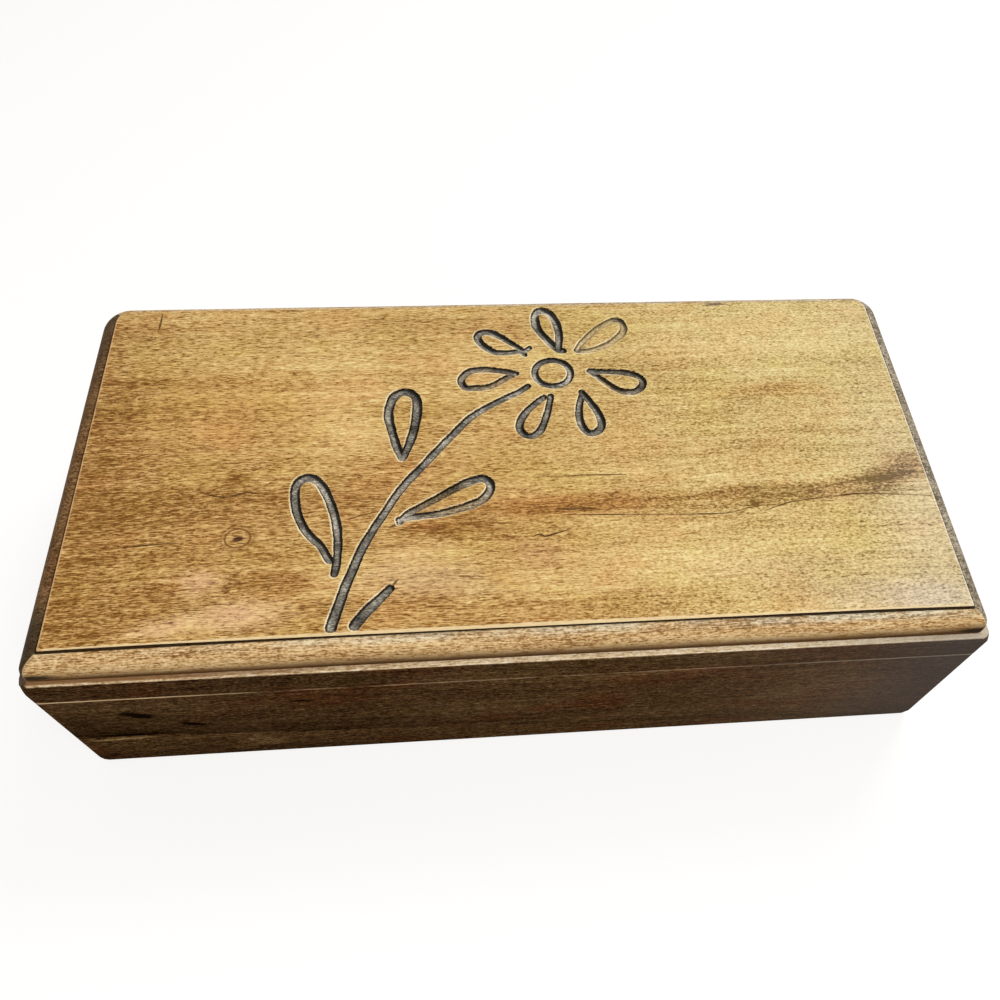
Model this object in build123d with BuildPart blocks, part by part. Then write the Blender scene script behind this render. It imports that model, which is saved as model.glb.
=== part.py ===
from build123d import *
import os
from math import acos, atan2, cos, degrees, hypot, radians, sin, tan

# A wooden jewelry box: a mitred box with a sawn-off, hinged lid whose beaded top board is carved
# with a flower, and a half-length tray that slides on two runners inside.
# Millimetres. +Z is up, the front is at -Y, and the origin is the middle of the footprint.

# Outside of the box
length = 307.5
depth = 152.0
body_height = 59.0
lid_gap = 0.4
rail_height = 13.1
front_corner_radius = 0.8
back_corner_radius = 4.0
edge_break = 0.4
foot_round = 0.7

# Boards
wall = 12.5
top_thickness = 10.0
panel_thickness = 4.0
panel_groove_depth = 5.0
panel_groove_up = 5.0
panel_play = 0.4
groove_play = 0.1
spline_width = 7.0
spline_thickness = 2.0
spline_above_panel = 3.0

# Beaded edge of the top board
front_ledge = 1.8
end_ledge = 2.55
bead_width = 5.6
bead_upright = 2.0
step_height = 1.0
board_front_radius = 3.0
field_back_radius = 4.5

# Felt
felt_thickness = 1.5
felt_margin = 0.4

# Hinges, let into the back edges at the seam
hinge_length = 19.0
hinge_spacing = 168.0
leaf_land = 2.0
leaf_thickness = 1.0
barrel_radius = 2.0
barrel_play = 0.3
pin_radius = 0.8
pin_play = 0.05
pin_head_radius = 1.4
pin_head_length = 0.6
knuckle_count = 5
knuckle_gap = 0.15
axis_inset = 2.5
mortise_play = 0.2
lid_stop_angle = 101.0

# Hinge screws
screw_length = 8.0
screw_radius = 0.9
screw_head_radius = 1.6
screw_head_height = 0.8
screw_tip_length = 2.0
screw_slot_width = 0.45
screw_slot_depth = 0.4
screw_spacing = 11.0
screw_play = 0.05

# Sliding tray and its runners
tray_length = 132.0
tray_height = 20.0
tray_wall = 5.5
tray_floor_thickness = 3.0
tray_rabbet = 2.5
tray_play = 0.6
tray_lift = 0.2
tray_below_rim = 3.0
tray_felt_thickness = 1.0
tray_felt_margin = 0.2
divider_thickness = 4.0
divider_drop = 3.0
divider_play = 0.1
long_divider_offset = 12.0
finger_radius = 10.0
runner_width = 6.0
runner_height = 8.0

# Carved flower: gouge strokes of one width in the top board
gouge_width = 2.8
gouge_depth = 1.2
flower_x = 16.5
flower_from_back = 34.5
ring_radius = 6.2
petal_end_radius = 3.9
leaf_end_radius = 4.7
stem_foot_x = -60.0
stem_foot_from_front = 2.3
stem_top_from_flower = (-9.5, -6.0)
stem_bow = 12.5
# Each petal, from the flower's middle: distance and bearing of its point, then of its round end
petals = (
    (12.0, 77, 32.5, 94),
    (15.0, 48, 38.5, 41),
    (14.0, 2, 34.0, -10),
    (14.5, -46, 31.0, -66),
    (12.0, -103, 31.0, -111),
    (14.0, 180, 34.5, 184),
    (15.0, 134, 34.0, 146),
)
# Each leaf, from the stem's foot: its point, then its round end
leaves = (
    ((21.0, 64.0), (21.0, 93.0)),
    ((0.0, 23.0), (-10.0, 57.0)),
    ((20.0, 39.0), (51.5, 52.0)),
)
# A short stroke beside the stem's foot, from end to end
spur = ((18.0, 14.5), (7.0, 0.5))

# Heights and places that follow from the sizes above
rail_bottom = body_height + lid_gap
top_bottom = rail_bottom + rail_height
field_top = top_bottom + top_thickness
inner_length = length - 2 * wall
inner_depth = depth - 2 * wall
board_length = length - 2 * end_ledge
board_depth = depth - 2 * front_ledge
board_back_radius = bead_width + field_back_radius
field_depth = board_depth - 2 * bead_width
panel_bottom = panel_groove_up + groove_play
panel_top = panel_bottom + panel_thickness
panel_reach = panel_groove_depth - panel_play
spline_bottom = panel_top + groove_play + spline_above_panel
hinge_axis_y = depth / 2 - axis_inset
hinge_axis_z = body_height + lid_gap / 2
hinge_places = {"left": -hinge_spacing / 2, "right": hinge_spacing / 2}
leaf_inner_y = depth / 2 - wall + leaf_land
leaf_outer_y = hinge_axis_y - barrel_radius - barrel_play
screw_y = (leaf_inner_y + leaf_outer_y) / 2
knuckle_length = (hinge_length - (knuckle_count - 1) * knuckle_gap) / knuckle_count
tray_depth = inner_depth - 2 * tray_play
tray_middle = -inner_length / 2 + tray_play + tray_length / 2
tray_top = body_height - tray_below_rim
tray_bottom = tray_top - tray_height
tray_floor_top = tray_bottom + tray_floor_thickness
tray_felt_top = tray_floor_top + tray_felt_thickness
tray_inner_length = tray_length - 2 * tray_wall
tray_inner_depth = tray_depth - 2 * tray_wall
divider_top = tray_top - divider_drop
runner_top = tray_bottom - tray_lift

SIDES = ("front", "right", "back", "left")
CORNER_SIGNS = ((-1, -1), (1, -1), (1, 1), (-1, 1))


def export(piece, name):
    piece.part.label = name
    export_step(piece.part, f"parts/{name}.step")


def corner(i, inset):
    """A corner of the footprint, moved in by inset on both sides."""
    sx, sy = CORNER_SIGNS[i % 4]
    return (sx * (length / 2 - inset), sy * (depth / 2 - inset))


def spline_turn(i):
    """The turn that lays a spline square across a corner's mitre."""
    sx, sy = CORNER_SIGNS[i % 4]
    return -45 * sx * sy


def screw_places(x):
    return [(x - screw_spacing / 2, screw_y), (x + screw_spacing / 2, screw_y)]


def panel_groove():
    """The groove round the inside of the walls that holds the bottom panel."""
    with BuildPart() as groove:
        with BuildSketch(Plane.XY.offset(panel_groove_up)):
            Rectangle(inner_length + 2 * panel_groove_depth, inner_depth + 2 * panel_groove_depth)
        extrude(amount=panel_thickness + 2 * groove_play)
    return groove.part


def lid_stop_bevel(way):
    """The wedge cut from the back edge at the seam, way -1 below it and 1 above it.

    The two bevels come together when the lid is open, just past the end of its travel.
    """
    reach = axis_inset + wall
    with BuildPart() as bevel:
        with BuildSketch(Plane.YZ):
            with BuildLine():
                Polyline(
                    (hinge_axis_y, hinge_axis_z),
                    (hinge_axis_y + reach, hinge_axis_z),
                    (hinge_axis_y + reach, hinge_axis_z + way * reach * tan(radians(lid_stop_angle / 2))),
                    close=True,
                )
            make_face()
        extrude(amount=length, both=True)
    return bevel.part


def hinge_mortises(edge_z, way):
    """Room in a back board's edge for both hinge leaves, their barrels and their screws."""
    barrel_half = hinge_length / 2 + pin_play + pin_head_length + mortise_play
    mortise_depth = hinge_axis_y - leaf_inner_y + mortise_play
    with BuildPart() as mortises:
        for x in hinge_places.values():
            with BuildSketch(Plane.XY.offset(edge_z)):
                with Locations((x, hinge_axis_y - mortise_depth / 2)):
                    Rectangle(hinge_length + 2 * mortise_play, mortise_depth)
            extrude(amount=way * leaf_thickness)
            with BuildSketch(Plane.YZ.offset(x)):
                with Locations((hinge_axis_y, hinge_axis_z)):
                    Circle(barrel_radius + barrel_play)
            extrude(amount=barrel_half, both=True)
            with BuildSketch(Plane.XY.offset(edge_z)):
                with Locations(*screw_places(x)):
                    Circle(screw_radius + screw_play)
            extrude(amount=way * (screw_length + screw_play))
    return mortises.part


def rounded_block(size_x, size_y, front_radius, back_radius, bottom, height):
    """An upright block with one radius on its front corners and another on its back corners."""
    with BuildPart() as block:
        with BuildSketch(Plane.XY.offset(bottom)) as plan:
            Rectangle(size_x, size_y)
            fillet(plan.vertices().group_by(Axis.Y)[0], front_radius)
            fillet(plan.vertices().group_by(Axis.Y)[-1], back_radius)
        extrude(amount=height)
    return block.part


def make_mitred_board(name, i, bottom, height, bottom_round, slot_bottom, cuts):
    """One side of a mitred frame: rounded corners, eased outer edges, spline slots and other cuts."""
    with BuildPart() as board:
        add(rounded_block(length, depth, front_corner_radius, back_corner_radius, bottom, height))
        chamfer(board.edges().group_by(Axis.Z)[-1], edge_break)
        fillet(board.edges().group_by(Axis.Z)[0], bottom_round)
        with BuildSketch(Plane.XY.offset(bottom)):
            with BuildLine():
                Polyline(corner(i, 0), corner(i + 1, 0), corner(i + 1, wall), corner(i, wall), close=True)
            make_face()
        extrude(amount=height, mode=Mode.INTERSECT)
        with BuildSketch(Plane.XY.offset(slot_bottom)):
            for k in (i, i + 1):
                with Locations(corner(k, wall / 2)):
                    Rectangle(
                        spline_width + 2 * groove_play,
                        spline_thickness + 2 * groove_play,
                        rotation=spline_turn(k),
                    )
        extrude(amount=bottom + height - slot_bottom, mode=Mode.SUBTRACT)
        for cut in cuts:
            add(cut, mode=Mode.SUBTRACT)
    export(board, name)


def make_splines(name, bottom, top):
    """The four splines that lock a frame's mitres."""
    with BuildPart() as splines:
        with BuildSketch(Plane.XY.offset(bottom)):
            for i in range(4):
                with Locations(corner(i, wall / 2)):
                    Rectangle(spline_width, spline_thickness, rotation=spline_turn(i))
        extrude(amount=top - bottom)
    export(splines, name)


def make_slab(name, size_x, size_y, bottom, thickness, middle_x=0.0):
    """A flat rectangular piece: a panel, a felt or a floor."""
    with BuildPart() as slab:
        with BuildSketch(Plane.XY.offset(bottom)):
            with Locations((middle_x, 0)):
                Rectangle(size_x, size_y)
        extrude(amount=thickness)
    export(slab, name)


def make_box():
    for i, side in enumerate(SIDES):
        cuts = [panel_groove(), lid_stop_bevel(-1)]
        if side == "back":
            cuts.append(hinge_mortises(body_height, -1))
        make_mitred_board(f"{side}_wall", i, 0, body_height, foot_round, spline_bottom, cuts)
    make_splines("corner_splines", spline_bottom, body_height)
    make_slab(
        "bottom_panel",
        inner_length + 2 * panel_reach,
        inner_depth + 2 * panel_reach,
        panel_bottom,
        panel_thickness,
    )
    make_slab(
        "base_felt",
        inner_length - 2 * felt_margin,
        inner_depth - 2 * felt_margin,
        panel_top,
        felt_thickness,
    )


def make_runners():
    for name, way in (("front", -1), ("back", 1)):
        with BuildPart() as runner:
            with BuildSketch(Plane.XY.offset(runner_top - runner_height)):
                with Locations((0, way * (inner_depth - runner_width) / 2)):
                    Rectangle(inner_length, runner_width)
            extrude(amount=runner_height)
        export(runner, f"tray_runner_{name}")


def make_lid_frame():
    for i, side in enumerate(SIDES):
        cuts = [lid_stop_bevel(1)]
        if side == "back":
            cuts.append(hinge_mortises(rail_bottom, 1))
        make_mitred_board(f"lid_{side}_rail", i, rail_bottom, rail_height, edge_break, rail_bottom, cuts)
    make_splines("lid_corner_splines", rail_bottom, top_bottom)
    make_slab(
        "lid_felt",
        inner_length - 2 * felt_margin,
        inner_depth - 2 * felt_margin,
        top_bottom - felt_thickness,
        felt_thickness,
    )


def bead_section(plane, outer):
    """The moulding cutter's section: above the bead and outside the field's step, to the board's edge at outer."""
    inner = outer - bead_width
    upright_top = top_bottom + bead_upright
    step_foot = field_top - step_height
    with BuildSketch(plane) as section:
        with BuildLine():
            EllipticalCenterArc(
                (inner, upright_top), bead_width, step_foot - upright_top, start_angle=0, arc_size=90
            )
            Polyline(
                (inner, step_foot),
                (inner, field_top + step_height),
                (outer + end_ledge, field_top + step_height),
                (outer + end_ledge, upright_top),
                (outer, upright_top),
            )
        make_face()
    return section.sketch


def bead_wastes():
    """What the cutter takes off the top board: a run round three sides, and one that meets it in front mitres."""
    side, back = board_length / 2, board_depth / 2
    start = -depth
    with BuildPart() as round_run:
        with BuildLine():
            FilletPolyline(
                (-side, start), (-side, back), (side, back), (side, start), radius=board_back_radius
            )
        add(bead_section(Plane(origin=(0, start, 0), x_dir=(-1, 0, 0), z_dir=(0, 1, 0)), side))
        sweep()
    with BuildPart() as front_run:
        extrude(
            bead_section(Plane(origin=(0, 0, 0), x_dir=(0, -1, 0), z_dir=(-1, 0, 0)), back),
            amount=length,
            both=True,
        )
    return (round_run.part, front_run.part)


def polar(middle, distance, bearing):
    return (middle[0] + distance * cos(radians(bearing)), middle[1] + distance * sin(radians(bearing)))


def moved(point, by):
    return (point[0] + by[0], point[1] + by[1])


def drop_stroke(point, end, end_radius):
    """A drop-shaped stroke: two straight sides from its point, tangent to a round end."""
    half = gouge_width / 2
    reach = hypot(end[0] - point[0], end[1] - point[1]) - end_radius
    bearing = degrees(atan2(end[1] - point[1], end[0] - point[0]))
    middle = polar(point, reach, bearing)
    touch = degrees(acos(end_radius / reach))
    left = bearing + 180 - touch
    right = bearing + 180 + touch
    inner_point = polar(point, half * reach / end_radius, bearing)
    with BuildSketch() as drop:
        with Locations(point):
            Circle(half)
        with Locations(middle):
            Circle(end_radius + half)
        with BuildLine():
            Polyline(
                polar(point, half, left),
                polar(middle, end_radius + half, left),
                polar(middle, end_radius + half, right),
                polar(point, half, right),
                close=True,
            )
        make_face()
        with Locations(middle):
            Circle(end_radius - half, mode=Mode.SUBTRACT)
        with BuildLine():
            Polyline(
                inner_point,
                polar(middle, end_radius - half, left),
                polar(middle, end_radius - half, right),
                close=True,
            )
        make_face(mode=Mode.SUBTRACT)
    return drop.sketch


def carved_flower():
    """The plan of every stroke of the carving."""
    flower = (flower_x, field_depth / 2 - flower_from_back)
    foot = (stem_foot_x, stem_foot_from_front - field_depth / 2)
    stem_top = moved(flower, stem_top_from_flower)
    drops = [
        drop_stroke(
            polar(flower, tip_distance, tip_bearing),
            polar(flower, end_distance, end_bearing),
            petal_end_radius,
        )
        for tip_distance, tip_bearing, end_distance, end_bearing in petals
    ]
    drops += [drop_stroke(moved(foot, tip), moved(foot, end), leaf_end_radius) for tip, end in leaves]
    with BuildLine() as stem:
        SagittaArc(foot, stem_top, stem_bow)
    with BuildLine() as short_stroke:
        Line(*[moved(foot, point) for point in spur])
    with BuildSketch() as plan:
        with Locations(flower):
            Circle(ring_radius + gouge_width / 2)
            Circle(ring_radius - gouge_width / 2, mode=Mode.SUBTRACT)
        SlotArc(stem.edge(), gouge_width)
        SlotCenterPoint(short_stroke.edge() @ 0.5, short_stroke.edge() @ 1, gouge_width)
        for drop in drops:
            add(drop)
    return plan.sketch


def make_lid_top():
    """The carved top board, with its bead run round all four edges."""
    flower_plan = carved_flower()
    with BuildPart() as lid_top:
        add(
            rounded_block(
                board_length, board_depth, board_front_radius, board_back_radius, top_bottom, top_thickness
            )
        )
        for waste in bead_wastes():
            add(waste, mode=Mode.SUBTRACT)
        with BuildSketch(Plane.XY.offset(field_top)):
            add(flower_plan)
        extrude(amount=-gouge_depth, mode=Mode.SUBTRACT)
    export(lid_top, "lid_top")


def make_hinge_leaf(name, x, edge_z, way, knuckles):
    """A leaf sunk in a board's edge, way -1 below the seam and 1 above it, with its share of knuckles."""
    with BuildPart() as leaf:
        with BuildSketch(Plane.XY.offset(edge_z)):
            with Locations((x, (leaf_inner_y + leaf_outer_y) / 2)):
                Rectangle(hinge_length, leaf_outer_y - leaf_inner_y)
        extrude(amount=way * leaf_thickness)
        for i in knuckles:
            knuckle_x = x - (hinge_length - knuckle_length) / 2 + i * (knuckle_length + knuckle_gap)
            with BuildSketch(Plane.XY.offset(edge_z)):
                with Locations((knuckle_x, (leaf_inner_y + hinge_axis_y) / 2)):
                    Rectangle(knuckle_length, hinge_axis_y - leaf_inner_y)
            extrude(amount=way * leaf_thickness)
            with BuildSketch(Plane.YZ.offset(knuckle_x)):
                with Locations((hinge_axis_y, hinge_axis_z)):
                    Circle(barrel_radius)
            extrude(amount=knuckle_length / 2, both=True)
        with BuildSketch(Plane.YZ.offset(x)):
            with Locations((hinge_axis_y, hinge_axis_z)):
                Circle(pin_radius + pin_play)
        extrude(amount=hinge_length, both=True, mode=Mode.SUBTRACT)
        for place in screw_places(x):
            with BuildSketch(Plane(origin=(*place, edge_z), x_dir=(1, 0, 0), z_dir=(0, -1, 0))):
                with BuildLine():
                    Polyline(
                        (0, 0),
                        (screw_head_radius + screw_play, 0),
                        (screw_radius + screw_play, way * screw_head_height),
                        (screw_radius + screw_play, way * leaf_thickness),
                        (0, way * leaf_thickness),
                        close=True,
                    )
                make_face()
            revolve(axis=Axis((*place, 0), (0, 0, 1)), mode=Mode.SUBTRACT)
    export(leaf, name)


def make_pin(name, x):
    """A plain pin with a small head past each end of the barrel."""
    half = hinge_length / 2 + pin_play
    with BuildPart() as pin:
        with BuildSketch(Plane.YZ.offset(x)):
            with Locations((hinge_axis_y, hinge_axis_z)):
                Circle(pin_radius)
        extrude(amount=half, both=True)
        for way in (-1, 1):
            with BuildSketch(Plane.YZ.offset(x + way * half)):
                with Locations((hinge_axis_y, hinge_axis_z)):
                    Circle(pin_head_radius)
            extrude(amount=way * pin_head_length)
    export(pin, name)


def make_screws(name, edge_z, way):
    """Countersunk slotted screws, driven away from the seam."""
    with BuildPart() as screws:
        for place in screw_places(hinge_places["left"]) + screw_places(hinge_places["right"]):
            with BuildSketch(Plane(origin=(*place, edge_z), x_dir=(1, 0, 0), z_dir=(0, -1, 0))):
                with BuildLine():
                    Polyline(
                        (0, 0),
                        (screw_head_radius, 0),
                        (screw_radius, way * screw_head_height),
                        (screw_radius, way * (screw_length - screw_tip_length)),
                        (0, way * screw_length),
                        close=True,
                    )
                make_face()
            revolve(axis=Axis((*place, 0), (0, 0, 1)))
            with BuildSketch(Plane.XY.offset(edge_z)):
                with Locations(place):
                    Rectangle(2 * screw_head_radius, screw_slot_width)
            extrude(amount=way * screw_slot_depth, mode=Mode.SUBTRACT)
    export(screws, name)


def make_hinges():
    for side, x in hinge_places.items():
        make_hinge_leaf(f"{side}_hinge_box_leaf", x, body_height, -1, range(0, knuckle_count, 2))
        make_hinge_leaf(f"{side}_hinge_lid_leaf", x, rail_bottom, 1, range(1, knuckle_count, 2))
        make_pin(f"{side}_hinge_pin", x)
    make_screws("box_hinge_screws", body_height, -1)
    make_screws("lid_hinge_screws", rail_bottom, 1)


def make_tray():
    """The tray's floor, its sides with a rabbet at each end, and its ends with a finger scoop."""
    wall_height = tray_top - tray_floor_top
    end_length = tray_inner_depth + 2 * tray_rabbet
    end_places = [(tray_middle + way * (tray_length - tray_wall) / 2, 0) for way in (-1, 1)]
    make_slab("tray_floor", tray_length, tray_depth, tray_bottom, tray_floor_thickness, tray_middle)
    make_slab(
        "tray_felt",
        tray_inner_length - 2 * tray_felt_margin,
        tray_inner_depth - 2 * tray_felt_margin,
        tray_floor_top,
        tray_felt_thickness,
        tray_middle,
    )
    for name, way in (("front", -1), ("back", 1)):
        with BuildPart() as side:
            with BuildSketch(Plane.XY.offset(tray_floor_top)):
                with Locations((tray_middle, way * (tray_depth - tray_wall) / 2)):
                    Rectangle(tray_length, tray_wall)
                with Locations(*end_places):
                    Rectangle(tray_wall, end_length, mode=Mode.SUBTRACT)
            extrude(amount=wall_height)
        export(side, f"tray_{name}_side")
    for name, place in zip(("left", "right"), end_places):
        with BuildPart() as end:
            with BuildSketch(Plane.XY.offset(tray_floor_top)):
                with Locations(place):
                    Rectangle(tray_wall, end_length)
            extrude(amount=wall_height)
            with BuildSketch(Plane.YZ.offset(place[0])):
                with Locations((0, tray_top)):
                    Circle(finger_radius)
            extrude(amount=tray_wall, both=True, mode=Mode.SUBTRACT)
        export(end, f"tray_{name}_end")


def make_dividers():
    """Two dividers in the tray, halved over each other where they cross."""
    half_lap = (tray_felt_top + divider_top) / 2
    notch = divider_thickness + 2 * divider_play
    crossing = (tray_middle, long_divider_offset)
    with BuildPart() as long_divider:
        with BuildSketch(Plane.XY.offset(tray_felt_top)):
            with Locations(crossing):
                Rectangle(tray_inner_length - 2 * divider_play, divider_thickness)
        extrude(amount=divider_top - tray_felt_top)
        with BuildSketch(Plane.XY.offset(half_lap)):
            with Locations(crossing):
                Rectangle(notch, notch)
        extrude(amount=divider_top - half_lap, mode=Mode.SUBTRACT)
    export(long_divider, "tray_long_divider")
    with BuildPart() as cross_divider:
        with BuildSketch(Plane.XY.offset(tray_felt_top)):
            with Locations((tray_middle, 0)):
                Rectangle(divider_thickness, tray_inner_depth - 2 * divider_play)
        extrude(amount=divider_top - tray_felt_top)
        with BuildSketch(Plane.XY.offset(tray_felt_top)):
            with Locations(crossing):
                Rectangle(notch, notch)
        extrude(amount=half_lap - tray_felt_top, mode=Mode.SUBTRACT)
    export(cross_divider, "tray_cross_divider")


os.makedirs("parts", exist_ok=True)
make_box()
make_runners()
make_lid_frame()
make_lid_top()
make_hinges()
make_tray()
make_dividers()
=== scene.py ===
"""The looks of the carved wooden jewelry box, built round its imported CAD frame."""
from functools import cached_property
from math import cos, pi, radians, sin

import bmesh
import bpy
import numpy as np
from mathutils import Euler, Matrix, Vector
from mathutils.geometry import delaunay_2d_cdt
from mathutils.noise import noise as value_noise


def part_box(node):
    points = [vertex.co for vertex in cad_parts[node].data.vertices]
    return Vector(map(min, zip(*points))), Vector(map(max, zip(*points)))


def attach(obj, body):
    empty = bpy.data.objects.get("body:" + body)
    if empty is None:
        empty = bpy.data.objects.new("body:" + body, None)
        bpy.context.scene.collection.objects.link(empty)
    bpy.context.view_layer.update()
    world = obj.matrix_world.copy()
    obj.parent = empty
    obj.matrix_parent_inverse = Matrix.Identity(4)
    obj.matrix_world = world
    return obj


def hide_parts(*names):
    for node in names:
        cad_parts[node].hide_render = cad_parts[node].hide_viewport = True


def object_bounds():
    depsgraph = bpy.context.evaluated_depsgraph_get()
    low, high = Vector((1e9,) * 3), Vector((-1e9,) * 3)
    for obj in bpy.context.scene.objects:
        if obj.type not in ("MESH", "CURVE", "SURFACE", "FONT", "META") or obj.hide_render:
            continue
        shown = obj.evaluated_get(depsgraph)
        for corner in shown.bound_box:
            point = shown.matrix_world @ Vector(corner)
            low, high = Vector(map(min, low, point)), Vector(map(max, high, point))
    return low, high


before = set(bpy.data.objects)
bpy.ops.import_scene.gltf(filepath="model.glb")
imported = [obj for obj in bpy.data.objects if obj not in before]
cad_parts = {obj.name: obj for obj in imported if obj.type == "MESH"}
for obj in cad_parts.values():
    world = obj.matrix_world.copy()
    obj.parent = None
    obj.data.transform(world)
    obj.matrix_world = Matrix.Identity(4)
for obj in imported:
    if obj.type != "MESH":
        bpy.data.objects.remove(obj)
cad_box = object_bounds()
MM = 0.001

# Top board, in millimetres as in the CAD source
top_low, top_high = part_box("lid_top")
BOARD_HALF_X = top_high.x / MM
BOARD_HALF_Y = top_high.y / MM
BOARD_THICKNESS = (top_high.z - top_low.z) / MM
FIELD_Z = top_high.z / MM
BEAD_WIDTH = 5.6
BEAD_UPRIGHT = 2.0
STEP_HEIGHT = 1.0
ARRIS_RADIUS = 0.3
QUIRK_DEPTH = 0.4
QUIRK_WIDTH = 0.7
FIELD_BOW = 1.0
RIM_STEP = 2.5
CORNER_STEPS = 10
FIELD_STEP = 5.0
FIELD_MARGIN = 4
BEAD_STEPS = 16
BEAD_TURN = 82
# Its corners in turn: their sides, the radius at the board's edge and the radius at the field's edge
CORNERS = ((1, 1, 10.1, 4.5), (-1, 1, 10.1, 4.5), (-1, -1, 3.0, 0.4), (1, -1, 3.0, 0.4))
# How much wider than in CAD the bead stands out at the right and left ends
END_SWELL = {1: 0.6, -1: 1.3}
# Thickness of the walls and rails
WALL = 12.5

# Carved strokes: the width of the cut at its start, along it and at its end, then its middle line
GOUGE_DEPTH = 1.5
GOUGE_SPREAD = 1.22
FULL_HALF = 1.5
STROKE_STEP = 0.6
STROKE_WOBBLE = 0.16
SWELL = 0.14
LIP_DROP = 0.07
GOUGE_ROUGH = 0.09
RING_CENTRE = (16.4, 34.0)
RING_RADII = (6.7, 6.25)
RING_WIDTH = 2.2
RING_WOBBLE = 0.2
RING_BLEND = 4
# The side of each cut where painted shade makes its paint black
SHADE_SIDE = (0.92, 0.3)
STROKES = (
    ((2.3, 2.8, 2.3), ((21.3, 44.8), (19.3, 45.4), (15.6, 50.5), (12.5, 56), (11.7, 60), (11.9, 63.7),
        (14, 66), (17.4, 64.5), (19.5, 60), (20.3, 55), (20.2, 50.5), (19.6, 46))),
    ((1.9, 2.3, 1.8), ((26.4, 45), (28.7, 48.6), (31.3, 51.8), (35.5, 56), (40.5, 59.2), (43.5, 60.2),
        (45.4, 58.8), (45.8, 55.2), (44.2, 52.4), (39.8, 48.5), (33.4, 45.2), (28.5, 44.4), (26.6, 44.7))),
    ((2.0, 2.4, 2.0), ((30.4, 34.5), (36, 34.1), (43, 33.4), (47.8, 31.8), (49.8, 29), (48.8, 26),
        (45.8, 24), (42, 24.2), (38.5, 26.3), (34.6, 30.2), (31, 34))),
    ((2.1, 2.5, 2.0), ((26.3, 24.5), (28.8, 20), (31.2, 15.2), (32.2, 10.5), (31.5, 7.6), (29.3, 5.8),
        (26.6, 6.2), (24.8, 9.5), (24.4, 14), (25, 18.5), (26.1, 22.4))),
    ((2.0, 2.4, 1.9), ((12.3, 22.5), (9.3, 20), (5.3, 15.8), (2.8, 11.2), (2.7, 8), (4.5, 5.6), (7, 5.2),
        (9.8, 7.5), (11.8, 11.8), (13.3, 16.5), (14.4, 21), (14.8, 23))),
    ((1.9, 2.4, 2.0), ((2.8, 34.2), (-2, 35.5), (-8, 36.3), (-13.5, 36), (-16.5, 33.8), (-17.6, 31),
        (-16.3, 28), (-12.5, 27.6), (-7.5, 28.2), (-3, 30.7), (1, 33.4))),
    ((1.7, 2.5, 1.7), ((8.6, 46.6), (6.2, 45.4), (2.6, 48.6), (-1.9, 52.3), (-5.6, 54.8), (-9.2, 54.9),
        (-10.9, 52.9), (-10.2, 50.2), (-7.6, 47), (-4.6, 44.8), (0.4, 44.5), (5.1, 45), (6.6, 43.2))),
    ((2.0, 2.4, 3.0), ((6.8, 28), (3.2, 25.3), (-6.3, 20), (-14.6, 14.2), (-22.5, 5.2), (-30.2, -4.4),
        (-38.8, -15.2), (-45.2, -26.2), (-50.8, -36.9), (-55.6, -50.3), (-58.9, -61.8), (-59.8, -65.5))),
    ((2.4, 2.9, 2.4), ((-38.8, -2.6), (-40.5, 1.5), (-42.3, 8), (-43.6, 15), (-43.6, 19.5), (-42, 24.3),
        (-38.9, 26.6), (-35.5, 25.6), (-33.8, 22), (-33.8, 16), (-34.8, 9), (-36.6, 2.5), (-38.5, -2.2))),
    ((2.2, 2.6, 2.2), ((-59.7, -47), (-59.2, -42), (-59.1, -35.5), (-59.9, -29), (-61.5, -22.5),
        (-63.8, -16.5), (-66.8, -11.5), (-70, -9.7), (-73, -11), (-74.3, -15), (-73.3, -22), (-71.2, -28),
        (-68, -32.8), (-64.5, -36.7), (-61.5, -42))),
    ((1.9, 2.6, 1.8), ((-39.4, -28.7), (-38.2, -26.7), (-36, -24.9), (-30, -21.5), (-23, -17.3),
        (-16.5, -13.7), (-11.5, -12.3), (-9.2, -13.9), (-9, -16.8), (-11.2, -20.3), (-15.5, -22.7),
        (-21, -24.6), (-28, -26.1), (-35, -26.8), (-39.8, -27.5))),
    ((2.3, 2.9, 2.8), ((-42.2, -53), (-45.2, -56.4), (-48.9, -60.1), (-51.3, -63.2), (-52.7, -65.2))),
)

# Rings of points in and round the cuts: shares of the half-width, and distances from an edge
CUT_SHARES = (0.45, 0.75, 0.92, 1.0)
CUT_RINGS = (0.22, 0.7)
CRACK_RINGS = (0.0, 0.25, 0.9)
FIELD_RINGS = (0.4, 0.9, 2.2)
GRID_GAP = 1.6
WELD = 0.004
FAR = 50.0

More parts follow.
